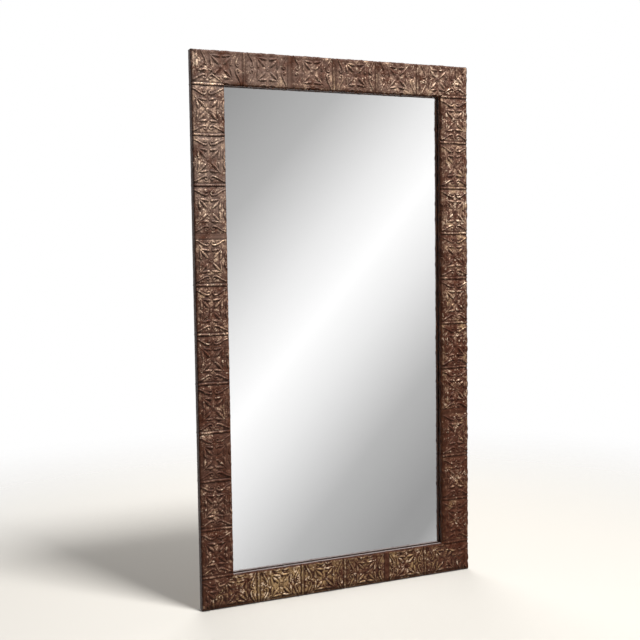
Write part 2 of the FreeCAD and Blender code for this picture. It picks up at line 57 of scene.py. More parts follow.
def addNode(tree, kind, inputs=None, **settings):  # inputs take a number, a colour or another node's output
    made = tree.nodes.new(kind)
    for name, value in settings.items():
        setattr(made, name, value)
    for name, value in (inputs or {}).items():
        if isinstance(value, bpy.types.NodeSocket):
            tree.links.new(value, made.inputs[name])
        else:
            made.inputs[name].default_value = value
    return made


def newMaterial(name, **shine):  # a principled surface with its even values on its own sockets
    material = bpy.data.materials.new(name)
    material.use_nodes = True
    tree = material.node_tree
    surface = tree.nodes["Principled BSDF"]
    for socket, value in shine.items():
        surface.inputs[socket.replace("_", " ")].default_value = value
    return material, tree, surface


def perMetre(sizeMm):  # a pattern's scale from the size of one of its features
    return 1000.0 / sizeMm


def addPiece(name, verts, faces, material, body="frame", smooth=True):
    mesh = bpy.data.meshes.new(name)
    mesh.from_pydata(verts, [], faces)
    mesh.polygons.foreach_set("use_smooth", [smooth] * len(mesh.polygons))
    mesh.materials.append(material)
    piece = bpy.data.objects.new(name, mesh)
    scene.collection.objects.link(piece)
    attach(piece, body)
    return piece


def dress(node, material):  # a CAD node keeps its shape and gets a finish
    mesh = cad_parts[node].data
    mesh.materials.clear()
    mesh.materials.append(material)


# pressed tin: stamped tinplate under old red-brown paint, seen as a dull brown skin that is rubbed back to
# tan and gilt in patches, flaked to bright tin in a few spots and black with grime and painted shade in the
# hollows and creases. Its sides and edges are darkened with soot and painted shade, and its lower ledge is
# pale with dust and a painted sheen
tinPaint = {
    "specular": 0.05, "bumpStrength": 0.5, "bumpMm": 0.35,
    "colours": {"dark": "#3b1b0f", "brown": "#5a382a", "faded": "#766156", "rust": "#74431f",
                "sootAndShade": "#2e180b", "worn": "#a78873", "tan": "#c6a78f", "gilt": "#a4875f",
                "cream": "#e2c8ad", "grimeAndShade": "#0f0806", "dustAndSheen": "#a39a98"},
    # each pattern: the size of one feature in mm, its detail and its roughness
    "patterns": {"patch": (42.0, 3.0, 0.5), "mottle": (17.0, 5.0, 0.62), "flake": (13.0, 3.0, 0.5),
                 "fleck": (4.5, 4.0, 0.65),
                 "crack": (1.1, 3.0, 0.55)},  # cracks in old paint are finer, and are drawn coarser to show
    # values that each sheet's own mesh carries, point by point
    "fields": ("high", "deep", "crown", "wear", "fade", "patchy", "gilding", "rust", "sootAndShade", "dustAndSheen", "chips"),
    # what adds up to each share, by a number or by another value, and the sums where it starts and is full
    "shares": {
        "blotch": ({"fleck": 0.9, "mottle": 1.3, "patch": 1.1}, None),
        "rubbed": ({"blotch": "patchy", "high": 0.1, "wear": 1.1, "crown": 0.05, "deep": -0.7}, (0.56, 1.39)),
        "browned": ({"mottle": 1.0}, (-0.3, 0.35)),
        "bleached": ({"patch": 1.0, "fleck": 0.6}, (-0.7, 0.25)),
        "rusted": ({"mottle": 1.0}, (-0.3, 0.4)),
        "tanned": ({"fade": 1.0, "fleck": 0.5}, (0.1, 0.6)),
        "gilded": ({"gilding": 1.0, "patch": 0.8}, (0.15, 0.85)),
        "chipped": ({"fleck": 1.0, "mottle": 0.3, "wear": 0.3, "chips": 0.5}, (0.36, 0.5)),
        "bared": ({"high": 0.06, "fleck": 0.9, "flake": 1.6, "wear": 0.7, "crown": 0.03, "deep": -0.6,
                   "chips": 0.6}, (0.75, 1.2)),
        "dustAndSheenSpread": ({"fleck": 1.0, "mottle": 0.5}, (-0.7, 0.1)),
        "roughness": ({"even": 0.4, "rubbed": -0.06, "fleck": 0.2}, None),
        "metallic": ({"rubbed": 0.25}, None),
        "unevenness": ({"crack": 1.0, "fleck": 0.9}, None)},
    # coats from the lowest up: the colour, the share that shows it, and how much of that share
    "coats": {
        "metal": ("worn", [("tan", "tanned", "even"), ("gilt", "gilded", "even")]),
        "paint": ("dark", [("brown", "browned", "even"), ("faded", "bleached", "fade"),
                           ("rust", "rusted", "rust"), ("metal", "rubbed", 0.8), ("metal", "chipped", 0.55),
                           ("cream", "bared", 0.7), ("sootAndShade", "sootAndShade", "even"), ("grimeAndShade", "deep", 0.6),
                           ("dustAndSheen", "dustAndSheenSpread", "dustAndSheen")])}}


def makeTinPaint():
    look = tinPaint
    material, tree, surface = newMaterial("painted_tinplate", Specular_IOR_Level=look["specular"])
    place = addNode(tree, "ShaderNodeTexCoord").outputs["Object"]
    values = {"even": 1.0}
    for name in look["fields"]:
        values[name] = addNode(tree, "ShaderNodeAttribute", attribute_name=name).outputs["Fac"]
    for name, (sizeMm, detail, rough) in look["patterns"].items():  # spread to mostly -0.5 to 0.5
        cloud = addNode(tree, "ShaderNodeTexNoise", {"Vector": place, "Scale": perMetre(sizeMm),
                                                     "Detail": detail, "Roughness": rough}).outputs["Fac"]
        values[name] = addNode(tree, "ShaderNodeMath", {0: cloud, 1: 2.0, 2: -1.0},
                               operation="MULTIPLY_ADD").outputs[0]
    for name, (parts, span) in look["shares"].items():
        total = 0.0
        for part, weight in parts.items():
            weight = values.get(weight, weight)
            total = addNode(tree, "ShaderNodeMath", {0: values[part], 1: weight, 2: total},
                            operation="MULTIPLY_ADD").outputs[0]
        if span:
            low, high = span
            total = addNode(tree, "ShaderNodeMapRange", {"Value": total, "From Min": low, "From Max": high},
                            interpolation_type="SMOOTHSTEP").outputs["Result"]
        values[name] = total
    colours = {name: linear(code) for name, code in look["colours"].items()}
    for name, (ground, coats) in look["coats"].items():
        colours[name] = colours[ground]
        for colour, share, amount in coats:
            shown = addNode(tree, "ShaderNodeMath", {0: values[share], 1: values.get(amount, amount)},
                            operation="MULTIPLY").outputs[0]
            colours[name] = addNode(tree, "ShaderNodeMix", {0: shown, 6: colours[name], 7: colours[colour]},
                                    data_type="RGBA").outputs[2]
    bump = addNode(tree, "ShaderNodeBump", {"Height": values["unevenness"], "Strength": look["bumpStrength"],
                                            "Distance": look["bumpMm"] * mm})
    tree.links.new(colours["paint"], surface.inputs["Base Color"])
    tree.links.new(values["roughness"], surface.inputs["Roughness"])
    tree.links.new(values["metallic"], surface.inputs["Metallic"])
    tree.links.new(bump.outputs["Normal"], surface.inputs["Normal"])
    return material


tinMaterial = makeTinPaint()

# the square repeat, in mm from its middle: an eighth of it is drawn, from the diagonal to the line through
# the middle of a seam, as (across, out) with out towards that seam
motif = {
    "pitch": 152.4, "midLine": 49.0, "topShift": 10.0, "bottomShift": 8.0,
    "ridges": {
        "scroll": {"line": [(51, 64.5), (43, 61.5), (36, 58.5), (28, 53.5), (21, 49.5), (15, 47.8),
                            (10, 47.6)],
                   "widths": (2.0, 2.6, 2.9, 3.2, 3.4, 3.4, 3.1), "height": 3.6, "crest": 0.3},
        "curl": {"line": [(10, 47.6), (6, 49.4), (4.2, 53), (5.6, 57), (9.4, 58.6), (12.2, 56.4)],
                 "widths": (3.0, 2.6, 2.3, 2.1, 2.2, 2.9), "height": 3.2, "crest": 0.3},
        "cornerLeaf": {"line": [(39, 39), (31, 31), (25, 25), (19, 19), (13.5, 13.5), (9, 9)],
                       "widths": (1.2, 2.2, 3.8, 5.2, 4.8, 2.2), "height": 4.6, "crest": 0.45},
        "sideLeaf": {"line": [(32, 34.5), (26, 34), (20, 33.3), (13, 32.3), (6.5, 31.4)],
                     "widths": (1.2, 2.6, 3.8, 4.6, 3.8), "height": 4.3, "crest": 0.35}},
    "boss": {"radius": 6.5, "height": 2.0}, "stainRadius": 4.5,
    "tongue": {"wide": 13.0, "long": 12.0, "out": 24.0, "height": 0.3},
    "field": {"foot": 69.0, "top": 63.0, "height": 1.6},
    "bead": {"at": -1.6, "half": 3.4, "height": 2.6}, "groove": {"at": 3.6, "half": 1.9, "depth": 1.1}}


def stroke(x, y, line, widths, height, crest):  # a ridge along a line that swells and tapers
    dome = np.zeros_like(x)
    widest = max(widths)
    for i in range(len(line) - 1):
        (x0, y0), (x1, y1) = line[i], line[i + 1]
        dx, dy = x1 - x0, y1 - y0
        share = np.clip(((x - x0) * dx + (y - y0) * dy) / (dx * dx + dy * dy), 0, 1)
        away = np.hypot(x - x0 - share * dx, y - y0 - share * dy)
        width = widths[i] + share * (widths[i + 1] - widths[i])
        off = np.clip(away / width, 0, 1)
        dome = np.maximum(dome, (crest * (1 - off) + (1 - crest) * (1 - off * off)) * width / widest)
    return height * dome


def tileRelief(along, across):  # stamped height in mm, and shares of raised field, tongue and stain
    half = motif["pitch"] / 2
    u = np.abs((along % motif["pitch"]) - half)
    v = np.abs(across)
    v = np.where(v > half, 2 * half - v, v)
    x, y = np.minimum(u, v), np.maximum(u, v)
    middle = np.hypot(x, y)
    relief = np.zeros_like(x)
    for ridge in motif["ridges"].values():
        relief = np.maximum(relief, stroke(x, y, **ridge))
    boss = motif["boss"]
    relief = np.maximum(relief, boss["height"] * np.sqrt(np.clip(1 - (middle / boss["radius"]) ** 2, 0, 1)))
    tongue = motif["tongue"]
    crown = np.exp(-(x / tongue["wide"]) ** 2 - ((y - tongue["out"]) / tongue["long"]) ** 2)
    relief = relief + tongue["height"] * crown * (1 - np.clip(relief, 0, 1))
    raised = motif["field"]
    field = np.clip((raised["foot"] - y) / (raised["foot"] - raised["top"]), 0, 1)
    relief = relief + raised["height"] * field
    run = np.where(u > v, half - u, motif["pitch"])  # from the nearest seam, or well away from any
    seam = np.where((along % motif["pitch"]) < half, run, -run)
    bead, groove = motif["bead"], motif["groove"]
    ridge = bead["height"] * np.sqrt(np.clip(1 - ((seam - bead["at"]) / bead["half"]) ** 2, 0, 1))
    valley = groove["depth"] * np.clip(1 - (np.abs(seam - groove["at"]) / groove["half"]) ** 2, 0, 1)
    stain = np.exp(-(middle / motif["stainRadius"]) ** 2)
    return np.maximum(relief, ridge) - valley, field, crown, stain


# the folded sheets, in mm
sheetMake = {
    "thickness": 0.5, "fold": 5.0, "glassGap": 0.5, "mitreGap": 0.2, "standOff": 0.9, "lowest": -0.3,
    "alongStep": 1.45, "faceStep": 1.35, "returnStep": 2.4, "foldSteps": 6,
    "outerCarry": 0.25, "innerCarry": 0.1,  # how much of the pressing is left on the returns
    "lapLength": 7.0, "lapLift": 0.75, "lapRise": 3.0,  # the first sheet of each member laps over the second
    "margin": 6.0, "marginRise": 5.0, "marginRelief": 0.12,  # the pressing dies away at a joint
    "flatUnder": 0.3,  # share of the fold that lies flat on the floor
    "wobble": 1.0, "wobbleMm": 23.0, "pressing": 0.92, "pressingSpread": 0.25, "pressingMm": 45.0,
    "dents": {"dent": (34.0, 0.5), "ripple": (9.0, 0.65), "pit": (4.5, 0.35)},  # size and depth
    "seed": 11, "seedStep": 10, "noiseCells": 96, "noiseStart": (1000, 300),
    "layers": {"wobbleAlong": 0, "wobbleAcross": 1, "pressing": 2, "dent": 3, "ripple": 4, "tiles": 5,
               "pit": 6}}
sheet = sheetMake["thickness"]
leftLow, leftHigh = (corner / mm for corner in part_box("left_stile"))
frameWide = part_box("right_stile")[1].x / mm - leftLow.x + 2 * sheet
frameHigh = leftHigh.z - leftLow.z + 2 * sheet
frontFace = leftLow.y - sheet
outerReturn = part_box("left_tin_lower")[1].y / mm - frontFace
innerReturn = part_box("mirror_glass")[0].y / mm - sheetMake["glassGap"] - frontFace
railLow, railHigh = (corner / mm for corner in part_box("bottom_rail"))
faceWidth = railHigh.z - railLow.z + 2 * sheet
members = {  # the middle of each outer edge, the way along it, and the way in towards the glass
    "left": {"middle": (-frameWide / 2, frameHigh / 2), "along": (0, -1), "inward": (1, 0), "shift": 0.0,
             "sense": 1, "sheets": ("left_tin_upper", "left_tin_lower"), "length": frameHigh},
    "right": {"middle": (frameWide / 2, frameHigh / 2), "along": (0, 1), "inward": (-1, 0), "shift": 0.0,
              "sense": -1, "sheets": ("right_tin_lower", "right_tin_upper"), "length": frameHigh},
    "top": {"middle": (0, frameHigh), "along": (-1, 0), "inward": (0, -1), "shift": motif["topShift"],
            "sense": -1, "sheets": ("top_tin_right", "top_tin_left"), "length": frameWide},
    "bottom": {"middle": (0, 0), "along": (1, 0), "inward": (0, 1), "shift": motif["bottomShift"],
               "sense": 1, "sheets": ("bottom_tin_left", "bottom_tin_right"), "length": frameWide}}


def smoothNoise(x, y, sizeMm, seed):  # soft value noise from -1 to 1
    cells = sheetMake["noiseCells"]
    grid = np.random.default_rng(seed).uniform(-1, 1, (cells, cells))
    gx, gy = x / sizeMm, y / sizeMm
    ix, iy = np.floor(gx).astype(int), np.floor(gy).astype(int)
    tx, ty = gx - ix, gy - iy
    tx, ty = tx * tx * (3 - 2 * tx), ty * ty * (3 - 2 * ty)
    ix, iy = ix % cells, iy % cells
    jx, jy = (ix + 1) % cells, (iy + 1) % cells
    low = grid[ix, iy] * (1 - tx) + grid[jx, iy] * tx
    high = grid[ix, jy] * (1 - tx) + grid[jx, jy] * tx
    return low * (1 - ty) + high * ty


def crossSection():  # the folded sheet's outside from outer to inner edge, and the way back inside
    fold = sheetMake["fold"]
    spread = fold * math.pi / 2
    mid = motif["midLine"]
    turns = np.linspace(0, math.pi / 2, sheetMake["foldSteps"], endpoint=False)
    rows = []  # depth behind the front, distance in, outward normal in both, place across the pattern
    count = round((outerReturn - fold) / sheetMake["returnStep"])
    for depth in np.linspace(outerReturn, fold, count, endpoint=False):
        rows.append((depth, 0.0, 0.0, -1.0, fold - mid - spread - (depth - fold)))
    for turn in turns:
        rows.append((fold - fold * math.sin(turn), fold - fold * math.cos(turn),
                     -math.sin(turn), -math.cos(turn), fold - mid - spread + fold * turn))
    count = round((faceWidth - 2 * fold) / sheetMake["faceStep"])
    for inset in np.linspace(fold, faceWidth - fold, count, endpoint=False):
        rows.append((0.0, inset, -1.0, 0.0, inset - mid))
    for turn in turns:
        rows.append((fold - fold * math.cos(turn), faceWidth - fold + fold * math.sin(turn),
                     -math.cos(turn), math.sin(turn), faceWidth - fold - mid + fold * turn))
    count = round((innerReturn - fold) / sheetMake["returnStep"])
    for depth in np.linspace(fold, innerReturn, count + 1):
        rows.append((depth, faceWidth, 0.0, 1.0, faceWidth - fold - mid + spread + depth - fold))
    section = dict(zip(("depth", "inset", "outDepth", "outInset", "across"), np.array(rows).T))
    inside = [(innerReturn, faceWidth - sheet), (fold, faceWidth - sheet), (sheet, faceWidth - fold),
              (sheet, fold), (fold, sheet), (outerReturn, sheet)]
    return section, np.array(inside)


def layOut(name, memberName, order):  # the sheet's grid of points before it is pressed
    member = members[memberName]
    section, inside = crossSection()
    along = np.array([member["along"][0], 0.0, member["along"][1]])
    middle = np.array([member["middle"][0], frontFace, member["middle"][1]])
    corners = np.array([list(c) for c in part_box(name)]) / mm
    reach = np.sort((corners - middle) @ along)
    half = member["length"] / 2
    start, end = max(reach[0], -half), min(reach[1], half)
    joint = end if order == 0 else start
    if order == 0:
        end += sheetMake["lapLength"]
    stations = round((end - start) / sheetMake["alongStep"]) + 1
    cut = half - np.concatenate([section["inset"], inside[:, 1]]) - sheetMake["mitreGap"]
    first, last = np.maximum(start, -cut), np.minimum(end, cut)
    run = first + np.linspace(0, 1, stations)[:, None] * (last - first)
    outer = run[:, :len(section["inset"])]  # places along the member, on the side that shows
    seed = sheetMake["seed"] + sheetMake["seedStep"] * list(members).index(memberName)
    return {"memberName": memberName, "member": member, "order": order, "section": section, "inside": inside,
            "along": along, "middle": middle, "half": half, "run": run, "outer": outer, "stations": stations,
            "fromJoint": outer - joint, "seed": seed}


def pressSheet(lay):  # how far each point stands off the plain fold, and what the pattern is there
    make, member, section = sheetMake, lay["member"], lay["section"]
    across = np.broadcast_to(section["across"], lay["outer"].shape)
    startAlong, startAcross = make["noiseStart"]

    def uneven(layer, sizeMm):
        seed = lay["seed"] + make["layers"][layer]
        return smoothNoise(lay["outer"] + startAlong, across + startAcross, sizeMm, seed)

    alongTile = (lay["outer"] - member["shift"]) * member["sense"]
    alongTile = alongTile + make["wobble"] * uneven("wobbleAlong", make["wobbleMm"])
    acrossTile = across + make["wobble"] * uneven("wobbleAcross", make["wobbleMm"])
    relief, field, crown, stain = tileRelief(alongTile, acrossTile)
    relief = relief * (make["pressing"] + make["pressingSpread"] * uneven("pressing", make["pressingMm"]))
    for layer, (sizeMm, depth) in make["dents"].items():
        relief = relief + depth * uneven(layer, sizeMm)
    out = section["outInset"]
    carry = np.where(out < 0, 1 + (1 - make["outerCarry"]) * out, 1 - (1 - make["innerCarry"]) * out)
    pressed = (np.abs(lay["fromJoint"]) - make["margin"]) / make["marginRise"]
    relief = (relief * np.clip(pressed, make["marginRelief"], 1) + make["standOff"]) * carry
    relief = np.maximum(relief, make["lowest"])  # the sheet stays in front of its timber
    if lay["memberName"] == "bottom":  # the underside lies flat on the floor
        flat = make["flatUnder"]
        relief = relief * np.clip((section["inset"] / make["fold"] - flat) / (1 - flat), 0, 1)
    if lay["order"] == 0:
        lap = np.clip(lay["fromJoint"] / make["lapRise"] + 1, 0, 1)
        relief = relief + make["lapLift"] * lap * (section["inset"] > sheet)
    return {"relief": relief, "field": field, "crown": crown * carry, "stain": stain, "alongTile": alongTile}


def meshSheet(name, lay, relief):
    section, inside, stations = lay["section"], lay["inside"], lay["stations"]
    inward = np.array([lay["member"]["inward"][0], 0.0, lay["member"]["inward"][1]])
    backward = np.array([0.0, 1.0, 0.0])
    outerDepth = section["depth"] + relief * section["outDepth"]
    outerInset = section["inset"] + relief * section["outInset"]
    depth = np.concatenate([outerDepth, np.tile(inside[:, 0], (stations, 1))], axis=1)
    inset = np.concatenate([outerInset, np.tile(inside[:, 1], (stations, 1))], axis=1)
    points = lay["middle"] + lay["run"][..., None] * lay["along"] + inset[..., None] * inward
    points = points + depth[..., None] * backward
    loop = points.shape[1]
    index = np.arange(stations * loop).reshape(stations, loop)
    beside = np.roll(index, -1, axis=1)
    quads = np.stack([index[:-1], index[1:], beside[1:], beside[:-1]], axis=-1).reshape(-1, 4)
    faces = quads.tolist() + [index[0].tolist(), index[-1][::-1].tolist()]
    piece = addPiece("pressed_" + name, (points.reshape(-1, 3) * mm).tolist(), faces, tinMaterial)
    rounded = np.zeros(len(faces), bool)  # only the side that shows is shaded smooth
    rounded[:len(quads)] = np.tile(np.arange(loop), stations - 1) < relief.shape[1] - 1
    piece.data.polygons.foreach_set("use_smooth", rounded)
    return piece


# wear and painted shade of each member. By share of its length from the top or the left: how faded, rubbed
# and gilt the paint is, which is real wear and also painted light from above, as both stiles are paler at the
# top and darker towards the bottom; and how dark its outer and inner sides are with soot and painted shade.
# Even along it: darkening beside the raised field, rust by the glass, dust and painted sheen, grime and
# painted shade in the hollows, patchiness, and soot and painted shade at the outer and inner edge of the face
# with its reach in mm. Then the largest worn spots: share of the length, mm in from the outer edge, radius,
# amount
wearAndShadePlan = {
    "left": {"fade": [(0, 0.95), (0.26, 0.85), (0.36, 0.42), (0.55, 0.27), (1, 0.12)],
             "wear": [(0, 0.68), (0.2, 0.65), (0.36, 0.47), (0.5, 0.56), (0.7, 0.49), (1, 0.32)],
             "gilding": [(0, 0.1), (0.3, 0.12), (1, 0.18)],
             "outside": [(0, 0.4), (0.5, 0.8), (1, 1)], "outsideFall": 1.5, "within": [(0, 0.8), (1, 0.8)],
             "band": 0.1, "rust": 0.7, "dustAndSheen": 0.0, "hollow": 0.9, "patchy": 1.0,
             "rim": (0.35, 12, 0.1, 10),
             "chips": [(0.024, 16, 12, 1.0), (0.195, 19, 20, 0.6), (0.283, 29, 20, 0.6), (0.678, 26, 20, 0.8),
                       (0.867, 13, 14, 0.5)]},
    "right": {"fade": [(0, 0.3), (0.3, 0.22), (0.5, 0.1), (1, 0.02)],
              "wear": [(0, 0.6), (0.19, 0.65), (0.28, 0.58), (0.37, 0.7), (0.46, 0.62), (0.56, 0.68),
                       (0.7, 0.43), (1, 0.38)],
              "gilding": [(0, 0.1), (0.4, 0.25), (1, 0.35)],
              "outside": [(0, 0.8), (1, 0.8)], "outsideFall": 0.5,
              "within": [(0, 0.35), (0.5, 0.5), (1, 0.75)],
              "band": 0.2, "rust": 0.2, "dustAndSheen": 0.0, "hollow": 0.5, "patchy": 0.9,
              "rim": (0.1, 10, 0.45, 16),
              "chips": [(0.102, 55, 15, 0.5), (0.19, 72, 15, 0.5), (0.262, 62, 15, 0.4), (0.705, 45, 24, 0.3),
                        (0.808, 46, 30, 0.7), (0.895, 46, 20, 0.55)]},
    "top": {"fade": [(0, 0.85), (0.5, 0.6), (1, 0.35)],
            "wear": [(0, 0.21), (0.5, 0.46), (0.66, 0.65), (0.85, 0.7), (1, 0.48)],
            "gilding": [(0, 0.1), (1, 0.2)],
            "outside": [(0, 0.5), (1, 0.5)], "outsideFall": 1.5, "within": [(0, 0.6), (1, 0.6)],
            "band": 0.35, "rust": 0.8, "dustAndSheen": 0.0, "hollow": 0.45, "patchy": 0.9,
            "rim": (0.4, 18, 0.4, 14),
            "chips": [(0.108, 76, 10, 1.0)]},
    "bottom": {"fade": [(0, 0.15), (0.5, 0.1), (1, 0.08)],
               "wear": [(0, 0.29), (0.1, 0.54), (0.18, 0.94), (0.38, 0.92), (0.48, 0.84), (0.7, 0.82),
                        (1, 0.6)],
               "gilding": [(0, 0.6), (0.25, 0.95), (0.45, 0.8), (0.6, 0.7), (1, 0.65)],
               "outside": [(0, 0.7), (1, 0.7)], "outsideFall": 1.5, "within": [(0, 0.97), (1, 0.97)],
               "band": 0.25, "rust": 0.2, "dustAndSheen": 0.75, "hollow": 1.0, "patchy": 0.45,
               "rim": (0.8, 18, 0.35, 14),
               "chips": []}}
wearAndShadeMake = {
    "wideBlur": 5, "nearBlur": 2, "highMm": 1.5,  # in grid steps, and the height above them that is worn
    "deepMm": 0.36, "deepSlope": 0.25, "stainDeep": 0.8,  # depths that are painted dark with grime and painted shade
    "creaseAt": 8.5, "creaseMm": 1.4, "creaseDeep": 0.9,  # painted shade in the bend beside a joint
    "mitreMm": 26.0, "mitreWear": 0.35, "mitreUpTo": 0.5,  # rubbed corners, on the first half of a member
    "jointMm": 5.0, "jointWear": 0.3, "rustMm": 7.0, "rimSlope": 3.0,
    "ledgeFrom": 0.15, "ledgeTo": 0.64, "ledgeFall": 0.2,  # where pale dust and a painted sheen lie, from the fold to the glass
    "tileKinds": 64, "fadeSpread": 0.25, "wearSpread": 0.12, "fadeOffFace": 0.3}


def blur(field, reach):  # even blur along both directions of a grid
    for axis in (0, 1):
        total = np.zeros_like(field)
        for shift in range(-reach, reach + 1):
            index = np.clip(np.arange(field.shape[axis]) + shift, 0, field.shape[axis] - 1)
            total += np.take(field, index, axis)
        field = total / (2 * reach + 1)
    return field


def blendPlan(plan, share):
    return np.interp(share, [p[0] for p in plan], [p[1] for p in plan])


def wearAndShadeFields(lay, pressed):  # the values that the paint reads at each point
    make, plan, section = wearAndShadeMake, wearAndShadePlan[lay["memberName"]], lay["section"]
    inset, relief, stain = section["inset"], pressed["relief"], pressed["stain"]
    fromJoint = np.abs(lay["fromJoint"])
    share = (lay["outer"] + lay["half"]) / lay["member"]["length"]
    if lay["memberName"] in ("right", "top"):  # those run upwards and leftwards
        share = 1 - share
    tile = np.floor(pressed["alongTile"] / motif["pitch"]).astype(int) % make["tileKinds"]
    random = np.random.default_rng(lay["seed"] + sheetMake["layers"]["tiles"])
    own = random.uniform(-1, 1, (make["tileKinds"], 2))[tile]  # each repeat is a little more or less worn
    outside, within = np.clip(-section["outInset"], 0, 1), np.clip(section["outInset"], 0, 1)
    face = 1 - outside - within
    fold = sheetMake["fold"]
    turnIn = np.clip((section["depth"] - fold) / (innerReturn - fold), 0, 1)  # from the fold to the glass
    # painted shade at the back of the inner return, by the glass
    rear = within * np.clip(2 * turnIn, 0, 1)
    # the ledge is painted pale: dust and painted sheen
    ledge = within * np.clip(turnIn / make["ledgeFrom"], 0, 1)
    ledge = ledge * np.clip((make["ledgeTo"] - turnIn) / make["ledgeFall"], 0, 1)
    crease = np.exp(-((fromJoint - make["creaseAt"]) / make["creaseMm"]) ** 2)
    # hollows and the bend beside a joint are painted dark: grime and painted shade
    wide, near = blur(relief, make["wideBlur"]), blur(relief, make["nearBlur"])
    deep = (near - relief) / make["deepMm"] + make["deepSlope"] * (wide - relief)
    deep = np.clip(deep + make["creaseDeep"] * crease, 0, 1) * plan["hollow"] * (1 - stain)
    deep = deep + make["stainDeep"] * stain * face
    outerRim, outerMm, innerRim, innerMm = plan["rim"]
    rim = outerRim * np.clip(make["rimSlope"] * (1 - inset / outerMm), 0, 1)
    rim = rim + innerRim * np.clip(make["rimSlope"] * (1 - (faceWidth - inset) / innerMm), 0, 1)
    # soot and painted shade: darkening beside the raised field, at the edges of the face, and on the outer
    # and inner sides
    sootAndShade = np.maximum((1 - pressed["field"]) * plan["band"], rim) * face
    sootAndShade = sootAndShade + blendPlan(plan["outside"], share) * outside ** plan["outsideFall"]
    sootAndShade = sootAndShade + blendPlan(plan["within"], share) * (within + rear) / 2
    mitre = np.exp(-((lay["half"] - inset - np.abs(lay["outer"])) / make["mitreMm"]) ** 2)
    wear = blendPlan(plan["wear"], share) + make["wearSpread"] * own[..., 1]
    wear = wear + make["mitreWear"] * mitre * (share < make["mitreUpTo"])
    wear = wear * face * np.clip(fromJoint / make["jointMm"] - 1, make["jointWear"], 1)
    fade = blendPlan(plan["fade"], share) * (1 + make["fadeSpread"] * own[..., 0])
    fade = fade * (make["fadeOffFace"] + (1 - make["fadeOffFace"]) * face)
    chips = np.zeros_like(share)
    for chipShare, chipInset, radius, amount in plan["chips"]:
        away = np.hypot((share - chipShare) * lay["member"]["length"], inset - chipInset)
        chips = np.maximum(chips, amount * np.exp(-(away / radius) ** 2))
    high = np.clip((relief - wide) / make["highMm"], 0, 1)
    rust = plan["rust"] * np.clip(1 - np.abs(inset - faceWidth) / make["rustMm"], 0, 1)
    return {"high": high, "deep": deep, "crown": pressed["crown"], "wear": wear, "fade": fade,
            "patchy": plan["patchy"], "gilding": blendPlan(plan["gilding"], share), "rust": rust,
            "sootAndShade": sootAndShade, "dustAndSheen": plan["dustAndSheen"] * ledge, "chips": chips * face}


def makeSheet(name, memberName, order):
    lay = layOut(name, memberName, order)
    pressed = pressSheet(lay)
    piece = meshSheet(name, lay, pressed["relief"])
    for field, values in wearAndShadeFields(lay, pressed).items():
        spread = np.zeros(lay["run"].shape, np.float32)  # the inside, which is hidden, stays at nought
        spread[:, :lay["outer"].shape[1]] = values
        piece.data.attributes.new(field, "FLOAT", "POINT").data.foreach_set("value", spread.ravel())
    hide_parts(name)


for memberName, member in members.items():
    for order, name in enumerate(member["sheets"]):
        makeSheet(name, memberName, order)
print("pressed tin sheets made")

# wood: planed pine carries the tin, and beech biscuits lie in the mitres
woodLook = {
    "planed_pine_upright": {"lengthways": 2, "pale": "#bd9a6c", "late": "#946c42", "lineMm": 9.0,
                            "rabbetShaded": True, "nodes": ("left_stile", "right_stile")},
    "planed_pine_across": {"lengthways": 0, "pale": "#bd9a6c", "late": "#946c42", "lineMm": 9.0,
                           "rabbetShaded": True, "nodes": ("top_rail", "bottom_rail")},
    "beech": {"lengthways": 0, "pale": "#c7a07a", "late": "#a4764f", "lineMm": 2.2, "rabbetShaded": False,
              "nodes": ("mitre_biscuits",)}}
woodGrain = {"roughness": 0.62, "drawnOut": 0.04, "stainMm": 260.0, "stainMost": 0.35,
             "bumpStrength": 0.25, "bumpMm": 0.3,
             "rabbetShade": "#0d0a09"}  # painted shade on the timber round the glass, a black rabbet so that no raw wood is mirrored


